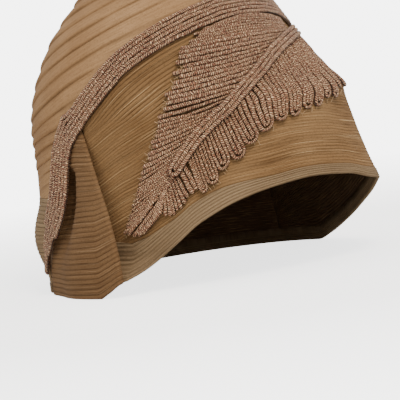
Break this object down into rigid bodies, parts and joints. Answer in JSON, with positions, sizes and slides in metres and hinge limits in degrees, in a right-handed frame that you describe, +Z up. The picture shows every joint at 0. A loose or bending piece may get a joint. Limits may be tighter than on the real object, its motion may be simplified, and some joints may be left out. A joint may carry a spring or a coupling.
{
  "type": "cloche hat",
  "caption": "Cloche hat of tan tucked cloth and olive ribbed cloth, with an ear pleat, a braided seam band and a leaf of looped cord",
  "frame": {"origin": "middle of the hat's length and width, on the surface that it rests on", "axes": "+Z up through the crown, the front of the hat faces -Y, the wearer's right side with the ear pleat and the leaf faces -X"},
  "size_m": [0.2, 0.2158, 0.1903],
  "materials": {
    "tucked_cloth": "matt tan silk cloth with sewn tucks",
    "ribbed_cloth": "matt olive tan ribbed cloth with a soft sheen",
    "braided_cord": "reddish tan twisted cord with a slight gloss"
  },
  "bodies": {
    "root": {"crown": "tucked_cloth", "side_panel": "ribbed_cloth", "ear_pleat": "ribbed_cloth", "back_brim": "ribbed_cloth", "brim_hem": "ribbed_cloth", "seam_braid": "braided_cord", "end_braid": "braided_cord", "leaf_midrib": "braided_cord", "leaf_upper_cords": "braided_cord", "leaf_lower_cords": "braided_cord", "leaf_lobe": "braided_cord"}
  },
  "joints": []
}
